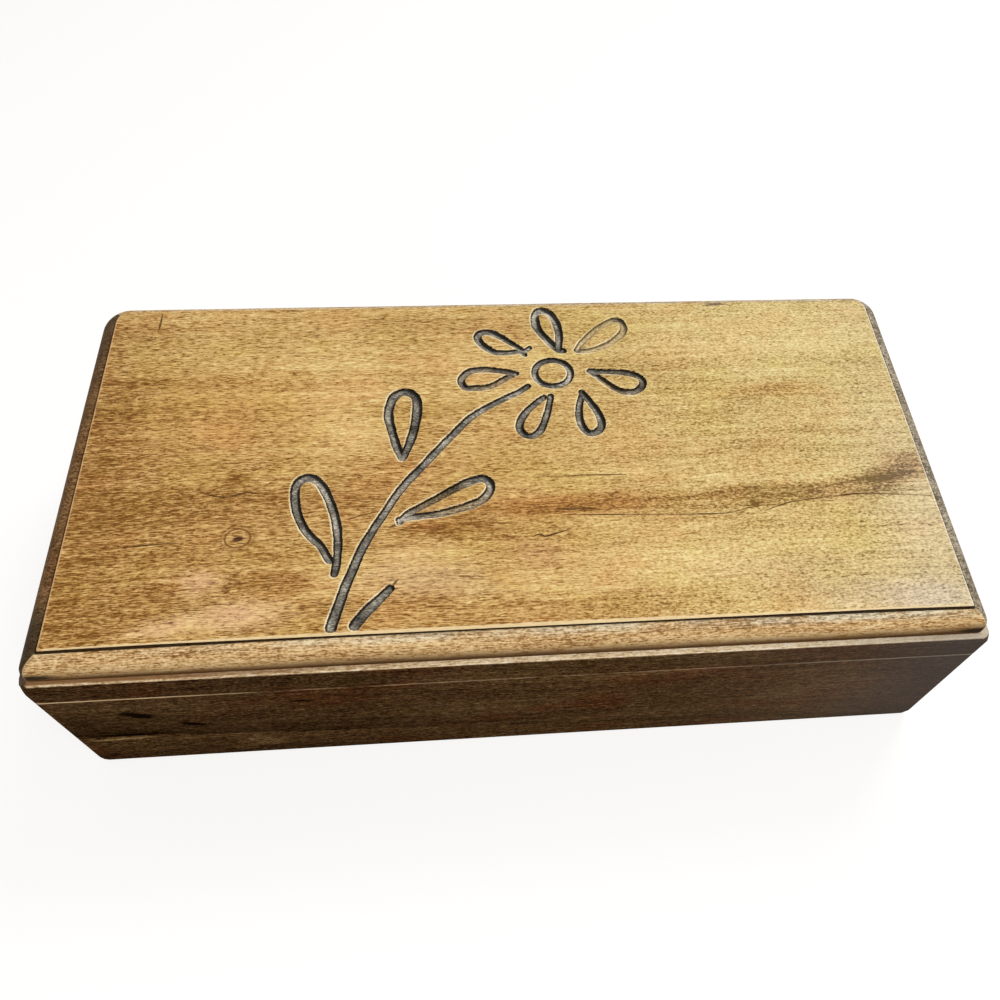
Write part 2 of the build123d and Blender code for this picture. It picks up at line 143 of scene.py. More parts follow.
# Fine splits in the top board: width, then the line
CRACK_DEPTH = 0.25
CRACK_STEP = 1.5
CRACK_TIP = 0.1
CRACK_WOBBLE = 0.15
CRACKS = (
    (0.45, ((14, -28.2), (36, -29), (58, -29.9), (72, -29.8), (77.8, -28.2), (81, -27.6))),
    (0.35, ((84, -29.6), (94, -26.5), (108, -24.9), (120, -24), (134, -25), (144.4, -26))),
    (0.45, ((3.8, -36.4), (6.5, -35.3), (8.1, -36.3), (11.9, -35.2), (17, -33.9))),
    (0.35, ((8, -12.2), (16, -12.6), (26, -12.4), (38, -12.9))),
    (0.5, ((-129.3, 67.6), (-129.2, 63), (-129.4, 58.8))),
    (0.4, ((-130.8, -34.8), (-124.3, -34.2), (-118.2, -33.7), (-109.3, -33.4))),
    (0.6, ((-104, -14.8), (-99.8, -16.1), (-96.9, -16.4), (-93.7, -15.9), (-90.2, -14.9), (-86, -15.6))),
    (0.7, ((13, -25.8), (17, -26), (20.8, -25.7), (25.5, -26.1))),
    (0.3, ((-57, -27), (-51, -25.2), (-46, -24.2))),
    (0.7, ((-39.7, -49.8), (-40.7, -51.1), (-41.8, -52.5))),
    (0.6, ((-42.9, -30.7), (-41.4, -29.9), (-40, -28.9))),
)


def srgb(red, green, blue):
    """A colour as it looks on screen, 0 to 255, turned into the linear colour that a shader takes."""
    parts = [c / 255 for c in (red, green, blue)]
    return tuple(c / 12.92 if c <= 0.04045 else ((c + 0.055) / 1.055) ** 2.4 for c in parts) + (1.0,)


def drift(x, y, z=0.0):
    """Smooth noise from about -1 to 1, always the same for the same place."""
    return value_noise(Vector((x, y, z)))


def add_object(name, data):
    """A new object in the scene."""
    thing = bpy.data.objects.new(name, data)
    bpy.context.scene.collection.objects.link(thing)
    return thing


def shade(mesh, angle):
    """Smooth shading, broken at edges sharper than the angle."""
    mesh.shade_smooth()
    mesh.set_sharp_from_angle(angle=radians(angle))


def make_piece(bm, name, body, angle):
    """A mesh as an object that rides on a body."""
    mesh = bpy.data.meshes.new(name)
    bm.to_mesh(mesh)
    bm.free()
    shade(mesh, angle)
    piece = add_object(name, mesh)
    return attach(piece, body)


class Stroke:
    """A cut along a smooth line, with the half-width of the cut at each of its points."""

    def __init__(self, line, widths, seed, wobble, closed=False):
        line = np.array(line, float)
        reach = np.concatenate([[0], np.cumsum(np.hypot(*np.diff(line, axis=0).T))])
        share = reach / reach[-1]
        slope = np.gradient(line, axis=0)
        if closed:
            slope[0] = slope[-1] = line[1] - line[-2]
        slope /= np.hypot(*slope.T)[:, None]
        self.normal = np.stack([-slope[:, 1], slope[:, 0]], 1)
        self.slope = slope
        swing = np.array([drift(0.16 * r, seed) + 0.4 * drift(0.5 * r, seed, 5) for r in reach])
        swell = np.array([drift(0.2 * r, seed, 9) + 0.5 * drift(0.7 * r, seed, 3) for r in reach])
        if closed:
            fade = np.clip(np.minimum(reach, reach[-1] - reach) / RING_BLEND, 0, 1)
            swing, swell = swing * fade, swell * fade
        self.line = line + self.normal * (wobble * swing)[:, None]
        first, middle, last = widths
        wide = np.interp(share, (0, 0.35, 0.65, 1), (first, middle, middle, last))
        self.half = wide * GOUGE_SPREAD / 2 * (1 + SWELL * swell)
        self.closed = closed

    def outline(self, offset):
        """The closed loop, or two loops for a ring, at a distance from the middle line."""
        left = self.line + self.normal * offset[:, None]
        right = self.line - self.normal * offset[:, None]
        if self.closed:
            return [left[:-1], right[:-1]]
        turns = [radians(a) for a in (60, 30, 0, -30, -60)]
        caps = []
        for at, way in ((-1, 1), (0, -1)):
            arms = [cos(a) * self.slope[at] + sin(a) * self.normal[at] for a in turns]
            caps.append(self.line[at] + offset[at] * way * np.array(arms))
        return [np.concatenate([left, caps[0], right[::-1], caps[1]])]

    def gauge(self, places):
        """How far each place is outside the cut, the half-width there, and the lean towards the side of
        painted shade.
        """
        a, b = self.line[:-1], self.line[1:]
        run = b - a
        along = ((places[:, None] - a) * run).sum(2) / (run * run).sum(1)
        along = np.clip(along, 0, 1)
        gap = places[:, None] - (a + along[:, :, None] * run)
        half = self.half[:-1] + along * (self.half[1:] - self.half[:-1])
        outside = np.hypot(gap[:, :, 0], gap[:, :, 1]) - half
        best = outside.argmin(1)
        rows = np.arange(len(places))
        lean = (gap[rows, best] * SHADE_SIDE).sum(1) / half[rows, best]
        return outside[rows, best], half[rows, best], lean


def smooth_line(points, step):
    """Points about a step apart on a smooth curve through the given ones."""
    points = [np.array(p, float) for p in points]
    points = [2 * points[0] - points[1]] + points + [2 * points[-1] - points[-2]]
    line = []
    for p0, p1, p2, p3 in zip(points, points[1:], points[2:], points[3:]):
        count = max(1, round(np.hypot(*(p2 - p1)) / step))
        for t in np.arange(count) / count:
            line.append(0.5 * (
                2 * p1 + (p2 - p0) * t + (2 * p0 - 5 * p1 + 4 * p2 - p3) * t ** 2
                + (3 * p1 - p0 - 3 * p2 + p3) * t ** 3
            ))
    return line + [points[-2]]


def rim_loop(inset):
    """The board's outline moved in by inset, with the field's front edge bowed in at its middle."""
    share = min(inset / BEAD_WIDTH, 1.0)
    deeper = max(inset - BEAD_WIDTH, 0.0)
    radii = [max(outer + (field - outer) * share - deeper, 0.05) for _, _, outer, field in CORNERS]
    half_x, half_y = BOARD_HALF_X - inset, BOARD_HALF_Y - inset
    centres = []
    for (side, way, _, _), radius in zip(CORNERS, radii):
        reach = half_x + END_SWELL[side] * (1 - share) - radius
        centres.append(np.array((side * reach, way * (half_y - radius))))
    loop = []
    for i in range(4):
        for k in range(CORNER_STEPS + 1):
            turn = radians(90 * (i + k / CORNER_STEPS))
            loop.append(centres[i] + radii[i] * np.array((cos(turn), sin(turn))))
        way = np.array((cos(radians(90 * (i + 1))), sin(radians(90 * (i + 1)))))
        end = centres[(i + 1) % 4] + radii[(i + 1) % 4] * way
        start = loop[-1]
        count = round(2 * (BOARD_HALF_Y if i % 2 else BOARD_HALF_X) / RIM_STEP)
        for k in range(1, count):
            place = start + (end - start) * k / count
            if i == 2:
                place[1] += FIELD_BOW * share * (1 - (place[0] / half_x) ** 2)
            loop.append(place)
    return np.array(loop)


def inside_field(spots):
    """How far each spot is inside the field's edge."""
    half_x = BOARD_HALF_X - BEAD_WIDTH - ARRIS_RADIUS
    half_y = BOARD_HALF_Y - BEAD_WIDTH - ARRIS_RADIUS
    front = spots[:, 1] < 0
    radius = np.where(front, CORNERS[2][3], CORNERS[0][3])
    bow = np.where(front, FIELD_BOW * (1 - (spots[:, 0] / half_x) ** 2), 0.0)
    x = abs(spots[:, 0]) - half_x + radius
    y = abs(spots[:, 1]) - half_y + bow + radius
    past = np.hypot(np.maximum(x, 0), np.maximum(y, 0)) + np.minimum(np.maximum(x, y), 0)
    return np.maximum(radius - past, 0.0)


def bead_section():
    """The moulded edge, from the field's arris to the board's underside: inset, and height over the field."""
    section = []
    for a in (radians(0), radians(30), radians(60), radians(90)):
        section.append((BEAD_WIDTH + ARRIS_RADIUS * (1 - sin(a)), ARRIS_RADIUS * (cos(a) - 1)))
    section.append((BEAD_WIDTH, -STEP_HEIGHT))
    section.append((BEAD_WIDTH - 0.15 * QUIRK_WIDTH, -STEP_HEIGHT - QUIRK_DEPTH))
    section.append((BEAD_WIDTH - 0.5 * QUIRK_WIDTH, -STEP_HEIGHT - 0.9 * QUIRK_DEPTH))
    rise = BOARD_THICKNESS - BEAD_UPRIGHT - STEP_HEIGHT
    for k in range(BEAD_STEPS + 1):
        a = radians(BEAD_TURN - BEAD_TURN * k / BEAD_STEPS)
        section.append((BEAD_WIDTH * (1 - cos(a)), BEAD_UPRIGHT - BOARD_THICKNESS + rise * sin(a)))
    section.append((0.0, 0.45 - BOARD_THICKNESS))
    section.append((0.12, 0.15 - BOARD_THICKNESS))
    section.append((0.4, -BOARD_THICKNESS))
    return section


def make_carved_top():
    """The top board: a field with cut strokes and splits, and the bead round it, as one closed mesh."""
    strokes = [Stroke(smooth_line(points, STROKE_STEP), widths, 11.3 * i + 1, STROKE_WOBBLE)
               for i, (widths, points) in enumerate(STROKES)]
    turns = np.linspace(0, 2 * pi, 73)
    ring = [(RING_CENTRE[0] + RING_RADII[0] * cos(a), RING_CENTRE[1] + RING_RADII[1] * sin(a)) for a in turns]
    strokes.append(Stroke(ring, (RING_WIDTH,) * 3, 77.0, RING_WOBBLE, closed=True))
    cracks = []
    for i, (width, points) in enumerate(CRACKS):
        widths = (CRACK_TIP, width, CRACK_TIP)
        cracks.append(Stroke(smooth_line(points, CRACK_STEP), widths, 5.7 * i + 40, CRACK_WOBBLE))

    section = bead_section()
    rim = rim_loop(section[0][0])
    nodes = [tuple(p) for p in rim]
    edges = [(i, (i + 1) % len(rim)) for i in range(len(rim))]

    def lay(loop, closed):
        start = len(nodes)
        nodes.extend(tuple(p) for p in loop)
        count = len(loop)
        edges.extend((start + i, start + (i + 1) % count) for i in range(count if closed else count - 1))

    for stroke in strokes:
        lay(stroke.line[:-1] if stroke.closed else stroke.line, stroke.closed)
        for share in CUT_SHARES:
            for loop in stroke.outline(stroke.half * share):
                lay(loop, True)
        for more in CUT_RINGS:
            for loop in stroke.outline(stroke.half + more):
                lay(loop, True)
    for crack in cracks:
        lay(crack.line, False)
        for more in CRACK_RINGS:
            lay(crack.outline(crack.half + more)[0], True)
    for more in FIELD_RINGS:
        loop = rim_loop(section[0][0] + more)
        apart = np.hypot(*(loop - np.roll(loop, 1, axis=0)).T) > 0.2
        lay(loop[apart], True)

    def nearest(group, spots):
        outside = np.full(len(spots), FAR)
        half = np.ones(len(spots))
        lean = np.zeros(len(spots))
        for cut in group:
            gap, width, side = cut.gauge(spots)
            half = np.where(gap < outside, width, half)
            lean = np.where(gap < outside, side, lean)
            outside = np.minimum(gap, outside)
        return outside, half, lean

    grid = []
    rows = int(BOARD_HALF_Y / FIELD_STEP)
    columns = int(BOARD_HALF_X / FIELD_STEP)
    for j in range(-rows, rows + 1):
        for i in range(-columns, columns + 1):
            grid.append((FIELD_STEP * (i + 0.5 * (j % 2)), FIELD_STEP * j))
    grid = np.array(grid)
    inner_x = BOARD_HALF_X - section[0][0] - FIELD_MARGIN
    inner_y = BOARD_HALF_Y - section[0][0] - FIELD_MARGIN - FIELD_BOW
    inside = (abs(grid[:, 0]) < inner_x) & (abs(grid[:, 1]) < inner_y)
    clear = np.minimum(nearest(strokes, grid)[0], nearest(cracks, grid)[0]) > GRID_GAP
    nodes.extend(tuple(p) for p in grid[inside & clear])

    flat, _, faces, came_from, _, _ = delaunay_2d_cdt([Vector(p) for p in nodes], edges, [], 0, WELD)
    spots = np.array([tuple(p) for p in flat])
    outside, half, lean = nearest(strokes, spots)
    split, split_half, _ = nearest(cracks, spots)
    t = np.clip(1 + outside / half, 0, 1)
    depth = GOUGE_DEPTH * np.clip(half / FULL_HALF, 0.2, 1.1) * np.sqrt(1 - t * t)
    roll = LIP_DROP * np.clip(1 - outside / CUT_RINGS[0], 0, 1)
    rough = np.array([GOUGE_ROUGH * drift(0.55 * x, 0.55 * y, 3) for x, y in spots]) * (outside < -0.1)
    fissure = CRACK_DEPTH * np.clip(-split / split_half, 0, 1)
    ripple = np.array([0.04 * drift(x / 28, y / 17) + 0.015 * drift(x / 7, y / 4, 8) for x, y in spots])
    height = FIELD_Z + ripple - np.maximum(np.maximum(depth + rough * (depth > 0), roll), fissure)

    rim_at = {}
    for at, sources in enumerate(came_from):
        for source in sources:
            if source < len(rim):
                rim_at[source] = at
    bm = bmesh.new()
    layers = bm.verts.layers.float
    across, groove, cracked, leaning = [layers.new(n) for n in ("across", "groove", "cracked", "lean")]
    to_rim = inside_field(spots)
    verts = []
    on_rim = set(rim_at.values())
    for i, (x, y) in enumerate(spots):
        vert = bm.verts.new((x * MM, y * MM, (FIELD_Z if i in on_rim else height[i]) * MM))
        vert[across] = 0.0 if i in on_rim else -to_rim[i]
        vert[groove] = outside[i]
        vert[cracked] = split[i]
        vert[leaning] = lean[i]
        verts.append(vert)
    for face in faces:
        bm.faces.new([verts[i] for i in face])
    last = [verts[rim_at[i]] for i in range(len(rim))]
    reach = 0.0
    count = len(rim)
    for (inset_0, z_0), (inset, z) in zip(section, section[1:]):
        reach += np.hypot(inset - inset_0, z - z_0)
        fresh = []
        for x, y in rim_loop(inset):
            worn = 0.07 * drift(x / 19, y / 19, reach / 6) + 0.03 * drift(x / 5, y / 5, reach / 4)
            lift = worn if 2 < reach < 11 else 0.0
            vert = bm.verts.new((x * MM, y * MM, (FIELD_Z + z + lift) * MM))
            vert[across] = reach
            vert[groove] = FAR
            vert[cracked] = FAR
            fresh.append(vert)
        for i in range(count):
            k = (i + 1) % count
            face = bm.faces.new((last[i], last[k], fresh[k], fresh[i]))
            face.material_index = int(reach > ARRIS_RADIUS * pi / 2)
        last = fresh
    bm.faces.new(last).material_index = 1
    bmesh.ops.recalc_face_normals(bm, faces=bm.faces)
    top = make_piece(bm, "carved_top", "lid", 38)
    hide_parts("lid_top")
    return top


class Value:
    """What a node gives out. Arithmetic on it adds the nodes that work out the result."""

    def __init__(self, look, socket):
        self.look = look
        self.socket = socket

    def math(self, operation, other=0.0):
        return self.look.value("ShaderNodeMath", {0: self, 1: other}, operation=operation)

    def __add__(self, other):
        return self.math("ADD", other)

    def __sub__(self, other):
        return self.math("SUBTRACT", other)

    def __mul__(self, other):
        return self.math("MULTIPLY", other)

    def __abs__(self):
        return self.math("ABSOLUTE")

    def larger(self, other):
        return self.math("MAXIMUM", other)

    def ramp(self, low, high, bottom=0.0, top=1.0):
        """A smooth step of the value, from bottom at low to top at high."""
        inputs = {0: self, 1: low, 2: high, 3: bottom, 4: top}
        return self.look.value("ShaderNodeMapRange", inputs, interpolation_type="SMOOTHSTEP")


class Look:
    """The nodes of a material or world, written as short calls on values, numbers and 0 to 255 colours."""

    def __init__(self, owner):
        owner.use_nodes = True
        self.owner = owner
        self.tree = owner.node_tree
        self.tree.nodes.clear()

    @cached_property
    def place(self):
        return self.value("ShaderNodeTexCoord", out="Object")

    @cached_property
    def axes(self):
        return [Value(self, s) for s in self.node("ShaderNodeSeparateXYZ", {0: self.place}).outputs]

    def node(self, kind, inputs=(), **settings):
        node = self.tree.nodes.new(kind)
        for key, setting in settings.items():
            setattr(node, key, setting)
        for key, value in dict(inputs).items():
            if isinstance(value, Value):
                self.tree.links.new(value.socket, node.inputs[key])
            else:
                node.inputs[key].default_value = value
        return node

    def value(self, kind, inputs=(), out=0, **settings):
        return Value(self, self.node(kind, inputs, **settings).outputs[out])

    def mix(self, share, a, b, blend="MIX"):
        a, b = [srgb(*c) if isinstance(c, tuple) else c for c in (a, b)]
        return self.value("ShaderNodeMix", {0: share, 6: a, 7: b}, 2, data_type="RGBA", blend_type=blend)

    def dyed(self, a, b):
        return self.mix(1.0, a, b, "MULTIPLY")

    def tint(self, value, *stops):
        """Colours along a value: each stop is a place and its colour."""
        node = self.node("ShaderNodeValToRGB", {0: value})
        points = node.color_ramp.elements
        while len(points) < len(stops):
            points.new(0.5)
        for point, (at, *colour) in zip(points, stops):
            point.position = at
            point.color = srgb(*colour)
        return Value(self, node.outputs[0])

    def stretch(self, place, scale, shift=(0.0, 0.0, 0.0)):
        return self.value("ShaderNodeMapping", {0: place, 1: shift, 3: scale})

    def noise(self, place, detail=3.0, roughness=0.55, distortion=0.0):
        inputs = {"Vector": place, "Scale": 1.0, "Detail": detail, "Roughness": roughness}
        inputs["Distortion"] = distortion
        return self.value("ShaderNodeTexNoise", inputs)

    def vector(self, x, y, z):
        return self.value("ShaderNodeCombineXYZ", {0: x, 1: y, 2: z})

    def moved(self, place, way):
        return self.value("ShaderNodeVectorMath", {0: place, 1: way}, operation="ADD")

    def length(self, vector):
        return self.value("ShaderNodeVectorMath", {0: vector}, "Value", operation="LENGTH")

    def attribute(self, name):
        return self.value("ShaderNodeAttribute", out="Fac", attribute_name=name)

    def weigh(self, base, **weights):
        """A base value plus layers of the wood, each set off from its middle by a weight."""
        for layer, weight in weights.items():
            base = getattr(self, layer) * weight - 0.5 * weight + base
        return base

    def spot(self, place, centre, radii, soft, turn=(0, 0, 0)):
        """1 inside an oval mark, fading to 0 at its edge; sizes in millimetres, turned in degrees."""
        angles = [radians(a) for a in turn]
        back = Euler(angles).to_matrix() @ (-Vector(centre) * MM)
        turned = self.value("ShaderNodeMapping", {0: place, 1: back, 2: angles})
        near = self.stretch(turned, [1 / (r * MM) for r in radii])
        return self.length(near).ramp(1.0, 1.0 - soft)

    def field_spot(self, place, middle, radii, soft, turn=0):
        return self.spot(place, (*middle, FIELD_Z), (*radii, FIELD_MARK_DEPTH), soft, (0, 0, -turn))

    def plain_rays(self):
        """1 for what the camera sees, straight or by way of gloss or glass, and 0 for light on the object."""
        path = self.node("ShaderNodeLightPath").outputs
        rays = [Value(self, path[kind]) for kind in ("Is Camera Ray", "Is Glossy Ray", "Is Transmission Ray")]
        return rays[0].larger(rays[1]).larger(rays[2])

    def surface(self, colour, rough, height, depth, gloss=0.5, more=()):
        """Ends the material, with a relief of a height and depth, and further settings if there are any."""
        bump = self.value("ShaderNodeBump", {"Height": height, "Distance": depth, "Strength": 1.0})
        inputs = {"Base Color": colour, "Roughness": rough, "Specular IOR Level": gloss, "Normal": bump}
        shader = self.value("ShaderNodeBsdfPrincipled", inputs | dict(more))
        self.tree.nodes.active = self.node("ShaderNodeOutputMaterial", {0: shader})
        return self.owner


# Layers of wood: whether they bend with the grain, how fine they are along and across it, detail, roughness
LAYERS = {
    "drift": (False, 8, 22, 3, 0.5),
    "bands": (True, 4, 110, 4, 0.62),
    "mottle": (False, 70, 130, 3, 0.6),
    "streak": (True, 20, 800, 2, 0.5),
    "fibre": (True, 330, 2700, 2, 0.5),
    "speck": (False, 900, 1600, 2, 0.6),
    "pores": (True, 600, 2200, 1, 0.5),
}
WARP_SCALE = (8, 12, 12)
WARP_REACH = 0.009


def wood_look(name, seed, axis="x"):
    """A material with the layers that every wood here is made of, its grain along the axis."""
    look = Look(bpy.data.materials.new(name))
    x, y, z = look.axes
    grain = look.place if axis == "x" else look.vector(y, x, z)
    shift = (seed, 2 * seed, 3 * seed)
    warp = look.noise(look.stretch(grain, WARP_SCALE, shift), 2) * WARP_REACH
    bent = look.moved(grain, look.vector(0.0, warp, warp))
    for layer, (bends, along, across, detail, roughness) in LAYERS.items():
        place = look.stretch(bent if bends else grain, (along, across, across), shift)
        setattr(look, layer, look.noise(place, detail, roughness))
    return look


# Marks on the field: middle, radii and turn, how much lighter or darker the wood is, and how soft the edge is
FIELD_MARK_DEPTH = 40
TONE_MARKS = (
    ((78, -24), (84, 7), 0, -0.2, 1.0), ((14, -25), (44, 6), 3, -0.2, 1.0),
    ((139, -13.5), (19, 7), 34, -0.3, 1.0), ((105, -21), (45, 6), 8, -0.16, 1.0),
    ((128, -17), (26, 3.5), 5, -0.18, 1.0), ((122, 4.5), (9, 3), 0, -0.14, 1.0),
    ((-93, -10), (9, 5), 12, -0.3, 1.0), ((-100, -17), (52, 5), 2, -0.12, 1.0),
    ((-103, -48.5), (9, 6), 0, 0.22, 0.45), ((-91, -60), (22, 5.5), 6, 0.27, 0.4),
    ((-111, -63), (12, 3.4), 4, 0.26, 0.4), ((-30, -43), (26, 10), 6, 0.2, 0.9),
    ((52, -47), (40, 12), 0, 0.14, 1.0), ((120, -60), (34, 9), 0, 0.02, 1.0),
    ((95, 46), (60, 22), 0, 0.1, 1.0), ((92, 23), (34, 5), 3, -0.12, 1.0),
    ((72, -24.5), (16, 2.4), 0, 0.2, 1.0), ((-140, 20), (14, 60), 0, -0.1, 1.0),
    ((-60, 34), (34, 44), 0, 0.1, 1.0), ((-84, 69), (7, 2.2), 0, -0.6, 0.9),
    ((107.8, 14), (7.5, 0.32), 51, 0.3, 0.5), ((142, -18), (13, 6), 24, -0.2, 1.0),
    ((116, -19.5), (24, 1.2), 13, -0.24, 1.0), ((124, -22.5), (22, 1.0), 6, -0.2, 1.0),
    ((76, -14), (14, 3), 0, 0.14, 1.0), ((82.5, -27), (3.4, 2.0), 0, -0.5, 1.0),
    ((84, 69), (8, 2.0), 0, -0.5, 0.9), ((-56, -49), (22, 10), 0, 0.26, 1.0),
    ((0, -56), (56, 12), 0, 0.18, 1.0), ((-23, -32), (20, 8), 0, -0.3, 1.0),
    ((50, -22), (64, 13), 0, -0.14, 1.0), ((-60, 6), (22, 18), 0, 0.24, 1.0),
    ((-3, 40), (46, 16), 0, 0.14, 1.0), ((131, -18), (24, 12), 12, -0.3, 1.0),
)
# Marks on the field: middle, radii, the hue that the wood leans to, and how strongly; two greyish ones at the
# front right are a painted sheen
HUE_MARKS = (
    ((92, 23), (40, 6), (218, 160, 84), 0.45), ((-28, -51), (44, 11), (206, 178, 138), 0.4),
    ((20, -24), (60, 8), (180, 112, 48), 0.5), ((139, -14), (18, 8), (178, 128, 74), 0.5),
    ((-26, -30), (14, 5), (190, 112, 52), 0.4), ((7, -43), (14, 8), (214, 166, 116), 0.5),
    ((-103, -48.5), (11, 8), (226, 178, 136), 0.9), ((-91, -60), (26, 8), (228, 180, 140), 1.0),
    ((-111, -63), (14, 5), (226, 178, 136), 0.9), ((-34, -46), (26, 12), (214, 172, 126), 0.6),
    ((-7, -51), (12, 7), (198, 152, 66), 0.4), ((-100, 20), (60, 30), (196, 138, 66), 0.4),
    ((84, 69), (8, 2.2), (118, 112, 104), 0.6), ((95, -52), (50, 14), (206, 186, 146), 0.35),
    # These two greyish marks at the front right are a painted sheen.
    ((124, -62), (44, 11), (196, 178, 156), 0.7), ((136, -66), (24, 9), (160, 148, 134), 0.8),
    ((141, -14), (13, 10), (180, 134, 82), 0.6), ((112, -22), (26, 7), (200, 150, 108), 0.5),
)
HUE_PULL = 0.75
GRIT = 2.3


def top_colour(look, pores):
    """Golden stained wood: banded, mottled and full of fine fibres, paler to the right, with its marks and a
    painted sheen at the front right.
    """
    x, y, _ = look.axes
    along = look.weigh(0.0, drift=0.03, mottle=0.02, streak=0.014)
    over = look.weigh(0.0, bands=0.008, mottle=0.004)
    ragged = look.moved(look.place, look.vector(along, over, 0.0))
    tone = look.weigh(x.ramp(-0.150, -0.085, 0.37, 0.51), drift=0.4, bands=0.46, mottle=0.18, streak=0.5)
    tone += look.mix(x.ramp(-0.04, 0.08, 0.25, 0.7), look.fibre, look.speck) * GRIT - GRIT / 2
    tone -= y.ramp(0.04, -0.05, 0.0, 0.12) * x.ramp(0.06, -0.02)
    for middle, radii, turn, shift, soft in TONE_MARKS:
        tone += look.field_spot(ragged, middle, radii, soft, turn) * shift
    tone -= pores * (look.mottle.ramp(0.62, 0.38, 0.1, 0.26) + x.ramp(0.0, -0.12, 0.0, 0.14))
    golden = look.tint(tone, (0.0, 112, 71, 22), (0.25, 169, 124, 65), (0.5, 209, 169, 108),
                       (0.75, 231, 199, 132), (1.0, 247, 226, 166))
    straw = look.tint(tone, (0.0, 118, 90, 38), (0.25, 173, 142, 79), (0.5, 213, 188, 126),
                      (0.75, 231, 211, 150), (1.0, 247, 234, 180))
    colour = look.mix(x.ramp(-0.04, 0.13) + y.ramp(-0.06, 0.06, -0.2, 0.15), golden, straw)
    cast = look.noise(look.stretch(look.place, (34, 60, 60), (1.3, 4.2, 0.7)))
    ruddy, yellow = look.dyed(colour, (255, 247, 244)), look.dyed(colour, (252, 253, 240))
    colour = look.mix(cast.ramp(0.5, 0.64), colour, ruddy)
    colour = look.mix(cast.ramp(0.5, 0.36), colour, yellow)
    for middle, radii, hue, strength in HUE_MARKS:
        share = look.field_spot(ragged, middle, radii, 1.0) * strength
        colour = look.mix(share, colour, look.mix(HUE_PULL, colour, hue, "COLOR"))
    # Paler and greyer at the far right, most at the front: a painted sheen.
    right_sheen = x.ramp(0.108, 0.145, 0.0, 0.45) * y.ramp(0.03, -0.03, 0.3, 1.0)
    return look.mix(right_sheen, colour, (222, 208, 180), "COLOR")


def knot(look, colour):
    """A small knot left of the stem: a thin brown ring round a dark red core."""
    reach = look.length(look.stretch(look.place, (1000, 1150, 0), (91.2, 37.4, 0)))
    reach = look.weigh(reach, fibre=0.5)
    ring = reach.ramp(3.4, 4.0) * reach.ramp(4.7, 4.1)
    outer = reach.ramp(4.6, 5.2, 0.0, 0.35) * reach.ramp(6.4, 5.4)
    colour = look.mix((ring + outer) * 0.85, colour, (112, 68, 28))
    core = look.field_spot(look.place, (-91, -32.8), (2.3, 1.3), 0.5, 12)
    return look.mix(core * 0.92, colour, (62, 24, 16))


# Where the paint in the cuts has worn to brown, and where it has faded: middle and radii
BROWN_CUTS = (((-24, -20), (20, 10)), ((-8, 32), (13, 8)), ((40, 29), (13, 8)))
FADED_CUT = ((37, 52), (15, 12))


def carving_paint(look, colour):
    """Paint in the cuts: black along their edges, partly painted shade, and painted shade on their right and
    back side; elsewhere worn to a flecked grey.
    """
    groove, lean = look.attribute("groove"), look.attribute("lean")
    edge = look.weigh(groove, fibre=0.3, speck=0.2)
    # A pale line just outside each cut on its left and front side: a painted highlight.
    lit_side = lean.ramp(0.5, -0.6, 0.12, 1.0) * look.mottle.ramp(0.36, 0.6, 0.3, 1.0)
    colour = look.mix(edge.ramp(0.0, 0.1) * edge.ramp(0.7, 0.25) * lit_side, colour, (246, 230, 190))
    # The pale flecks in the grey are partly painted glints on the glossy paint.
    worn = look.weigh(0.5, speck=0.9, mottle=1.4, fibre=0.8)
    grey = look.tint(worn, (0.1, 46, 43, 38), (0.35, 94, 90, 82), (0.56, 138, 132, 121), (0.9, 222, 214, 198))
    for middle, radii in BROWN_CUTS:
        share = look.field_spot(look.place, middle, radii, 0.7)
        grey = look.mix(share, grey, look.dyed(grey, (246, 222, 184)))
    faded = look.field_spot(look.place, *FADED_CUT, 0.3)
    grey = look.mix(faded * 0.8, grey, look.mix(0.3, colour, (196, 186, 160)))
    # Black on the right and back side of each cut: painted shade.
    dark = look.weigh(lean, fibre=0.4, mottle=0.5).ramp(0.06, 0.46) * (faded * -0.35 + 1.0)
    # Black just inside the edges: partly dark paint, partly painted shade on the steep walls.
    rim = look.weigh(groove, fibre=0.2).ramp(-0.56, -0.24, 0.0, 0.96) * (faded * -0.3 + 1.0)
    paint = look.mix(dark.larger(rim) * 0.95, grey, (18, 14, 10))
    share = edge.ramp(0.05, -0.06)
    return look.mix(share, colour, paint), share


def top_wood():
    """The field of the top board, pale along its arris from rubbing and from a painted highlight."""
    look = wood_look("top_wood", 3.1)
    x, y, _ = look.axes
    pores = look.pores.ramp(0.58, 0.69)
    colour = knot(look, top_colour(look, pores))
    # Dark brown in and along the fine splits: painted shade.
    cracked = look.attribute("cracked").ramp(0.14, -0.04) * look.mottle.ramp(0.36, 0.6, 0.35, 0.9)
    colour = look.mix(cracked, colour, (64, 33, 6))
    # A pale line along the field's arris: partly rubbed wear, partly a painted highlight, whitest at the
    # right.
    front, right, left = y.ramp(-0.064, -0.0668), x.ramp(0.1435, 0.1445), x.ramp(-0.1435, -0.1445)
    strength = front * 0.4 + y.ramp(0.066, 0.068, 0.4, 0.12)
    strength = strength.larger(right * 0.75).larger(left * 0.75)
    line = look.weigh(look.attribute("across"), fibre=0.5, mottle=0.4).ramp(-0.38, -0.08)
    wear_and_highlight = look.mix(front, (206, 160, 108), (242, 218, 170))
    wear_and_highlight = look.mix(right, wear_and_highlight, (244, 232, 204))
    wear_and_highlight = look.mix(left, wear_and_highlight, (222, 180, 130))
    colour, paint = carving_paint(look, look.mix(line * strength, colour, wear_and_highlight))
    rough = look.mottle * 0.2 + 0.36 + paint * -0.14
    return look.surface(colour, rough, pores * -0.5 + look.fibre * 0.9, 0.00015, 0.1)


# Painted shade at the foot of the bead's front corners: middles and radii
BEAD_CORNER_SHADE = ((-148, -74, 75.2), (148, -74, 75.2))
CORNER_SHADE_RADII = (9, 7, 2.0)


